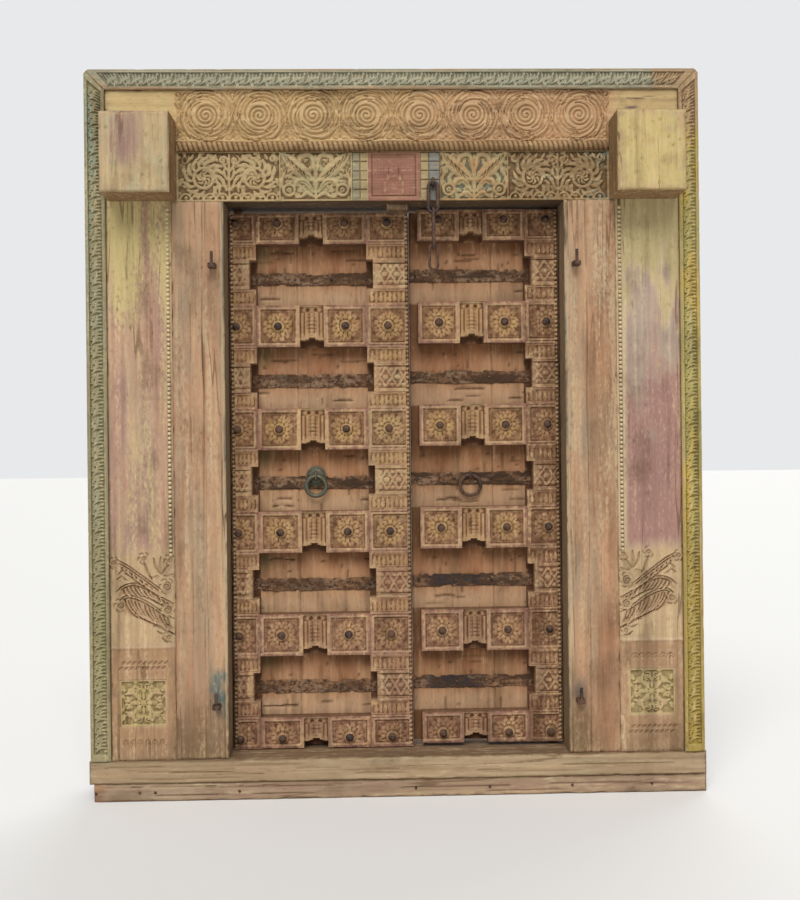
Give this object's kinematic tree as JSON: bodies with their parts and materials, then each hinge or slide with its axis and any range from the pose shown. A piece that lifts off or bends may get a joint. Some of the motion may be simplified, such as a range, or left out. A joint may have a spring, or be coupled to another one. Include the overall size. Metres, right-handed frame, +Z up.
{
  "type": "carved wooden double door with frame",
  "caption": "Carved wooden double door in its frame: two panelled leaves on wooden pivots open inward, with iron straps, studs, pull rings and a hanging door chain.",
  "frame": {"origin": "middle of the sill's underside", "axes": "+Z up, -Y out of the carved front, +X to the right when facing the front"},
  "size_m": [1.79, 0.289, 2.111],
  "materials": {
    "painted_wood": "worn paint",
    "lintel_wood": "worn limewash",
    "sill_wood": "weathered",
    "bare_wood": "bare, weathered",
    "leaf_wood": "carved, worn paint",
    "wrought_iron": "rusted",
    "dark_bronze": "tarnished"
  },
  "bodies": {
    "frame": {"chain_staple": "wrought_iron", "head_stop": "bare_wood", "jamb_pintles": "wrought_iron", "left_border": "painted_wood", "left_corner_block": "painted_wood", "left_inner_jamb": "bare_wood", "left_pilaster": "painted_wood", "lower_lintel": "lintel_wood", "lower_sill": "sill_wood", "right_border": "painted_wood", "right_corner_block": "painted_wood", "right_inner_jamb": "bare_wood", "right_pilaster": "painted_wood", "rope_moulding": "lintel_wood", "sill_nails": "wrought_iron", "top_border": "painted_wood", "upper_lintel": "lintel_wood", "upper_sill": "sill_wood"},
    "left_leaf": {"left_hinge_plank": "bare_wood", "left_hinge_stile": "leaf_wood", "left_meeting_plank": "bare_wood", "left_rail_1": "leaf_wood", "left_rail_2": "leaf_wood", "left_rail_3": "leaf_wood", "left_rail_4": "leaf_wood", "left_rail_5": "leaf_wood", "left_rail_6": "leaf_wood", "left_ring_plate": "dark_bronze", "left_ring_staple": "dark_bronze", "left_strap_1": "wrought_iron", "left_strap_2": "wrought_iron", "left_strap_3": "wrought_iron", "left_strap_4": "wrought_iron", "left_strap_5": "wrought_iron", "left_strap_nails": "wrought_iron", "left_studs": "wrought_iron", "meeting_post": "leaf_wood"},
    "right_leaf": {"right_hinge_plank": "bare_wood", "right_hinge_stile": "leaf_wood", "right_meeting_plank": "bare_wood", "right_rail_1": "leaf_wood", "right_rail_2": "leaf_wood", "right_rail_3": "leaf_wood", "right_rail_4": "leaf_wood", "right_rail_5": "leaf_wood", "right_rail_6": "leaf_wood", "right_ring_staple": "wrought_iron", "right_strap_1": "wrought_iron", "right_strap_2": "wrought_iron", "right_strap_3": "wrought_iron", "right_strap_4": "wrought_iron", "right_strap_5": "wrought_iron", "right_strap_nails": "wrought_iron", "right_studs": "wrought_iron"},
    "left_ring": {"left_ring": "dark_bronze"},
    "right_ring": {"right_ring": "wrought_iron"},
    "chain_upper": {"chain_link_upper": "wrought_iron"},
    "chain_middle": {"chain_link_middle": "wrought_iron"},
    "chain_lower": {"chain_link_lower": "wrought_iron"}
  },
  "joints": [
    {"name": "left_leaf_swing", "type": "hinge", "parent": "frame", "child": "left_leaf", "pos_m": [-0.469, 0.052, 0.121], "axis": [0, 0, 1], "range_deg": [0, 105]},
    {"name": "right_leaf_swing", "type": "hinge", "parent": "frame", "child": "right_leaf", "pos_m": [0.469, 0.052, 0.129], "axis": [0, 0, -1], "range_deg": [0, 105]},
    {"name": "left_ring_swing", "type": "hinge", "parent": "left_leaf", "child": "left_ring", "pos_m": [-0.24115, 0.0259, 0.9305], "axis": [-1, 0, 0], "range_deg": [0, 150]},
    {"name": "right_ring_swing", "type": "hinge", "parent": "right_leaf", "child": "right_ring", "pos_m": [0.2241, 0.0362, 0.9295], "axis": [-1, 0, 0], "range_deg": [0, 150]},
    {"name": "chain_upper_swing", "type": "hinge", "parent": "frame", "child": "chain_upper", "pos_m": [0.113, -0.093, 1.781], "axis": [-1, 0, 0], "range_deg": [0, 95]},
    {"name": "chain_middle_swing", "type": "hinge", "parent": "chain_upper", "child": "chain_middle", "pos_m": [0.113, -0.093, 1.6942], "axis": [-1, 0, 0], "range_deg": [-12, 80]},
    {"name": "chain_lower_swing", "type": "hinge", "parent": "chain_middle", "child": "chain_lower", "pos_m": [0.113, -0.093, 1.5986], "axis": [-1, 0, 0], "range_deg": [-30, 80]}
  ]
}
